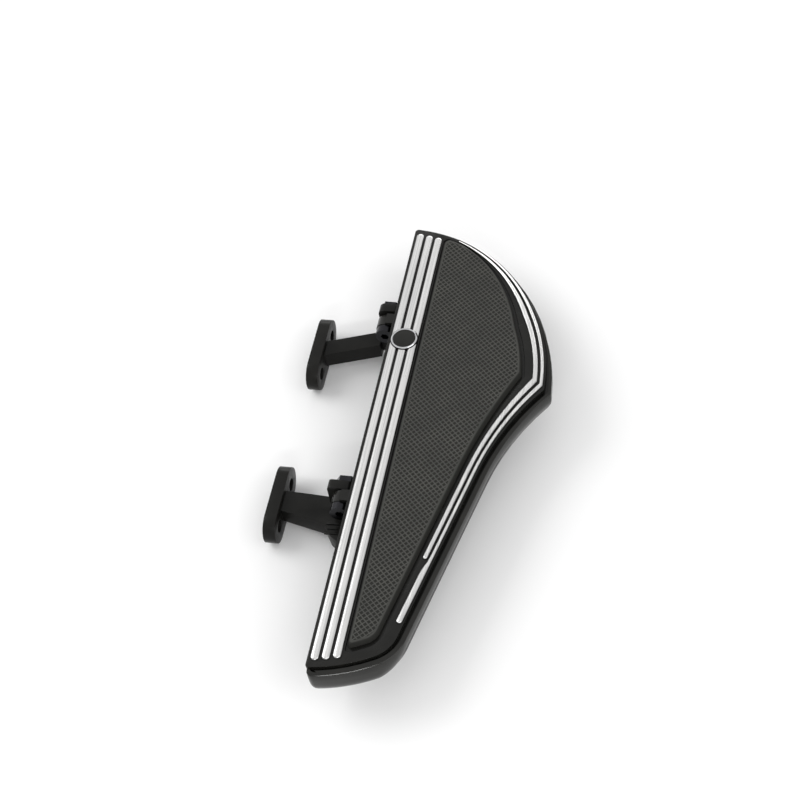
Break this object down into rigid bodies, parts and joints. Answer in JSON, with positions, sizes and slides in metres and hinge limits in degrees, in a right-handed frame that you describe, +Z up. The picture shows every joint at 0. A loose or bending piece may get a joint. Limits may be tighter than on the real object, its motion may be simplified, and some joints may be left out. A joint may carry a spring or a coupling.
{
  "type": "motorcycle rider floorboard",
  "caption": "Right-hand fold-up rider floorboard of a touring motorcycle: cast pan, ribbed insert plate, dimpled rubber pad, badge and two frame brackets",
  "frame": {"origin": "centre of the front bracket's two-bolt pattern, on the face that meets the motorcycle's frame", "axes": "+X outboard, away from the frame; +Y forward along the board, its longest extent; +Z up"},
  "size_m": [0.2089, 0.4315, 0.057],
  "materials": {
    "cast_black": "gloss black paint on cast aluminium",
    "insert_black": "gloss black with bright machined rib tops",
    "pad_rubber": "moulded grey-black rubber with a dimple pattern",
    "badge_chrome": "bright chrome",
    "badge_black": "bare gloss black inlay",
    "damper_rubber": "soft black rubber",
    "zinc_steel": "zinc-plated steel",
    "bushing_bronze": "sintered bronze",
    "bracket_black": "satin black paint on cast iron"
  },
  "bodies": {
    "brackets": {"bracket_front": "bracket_black", "bracket_rear": "bracket_black", "pivot_bolt_front": "zinc_steel", "pivot_bolt_rear": "zinc_steel", "thrust_washer_front": "zinc_steel", "thrust_washer_rear": "zinc_steel", "spring_washer_front": "zinc_steel", "spring_washer_rear": "zinc_steel", "pivot_nut_front": "zinc_steel", "pivot_nut_rear": "zinc_steel", "stop_bumper_front": "damper_rubber", "stop_bumper_rear": "damper_rubber"},
    "board": {"pan": "cast_black", "insert_plate": "insert_black", "pad": "pad_rubber", "badge_bezel": "badge_chrome", "badge_face": "badge_black", "isolators": "damper_rubber", "stud_washers": "zinc_steel", "stud_nuts": "zinc_steel", "bushing_front": "bushing_bronze", "bushing_rear": "bushing_bronze"}
  },
  "joints": [
    {"name": "board_fold", "type": "hinge", "parent": "brackets", "child": "board", "pos_m": [0.062, 0, 0.0235], "axis": [0, -1, 0], "range_deg": [0, 50]}
  ]
}
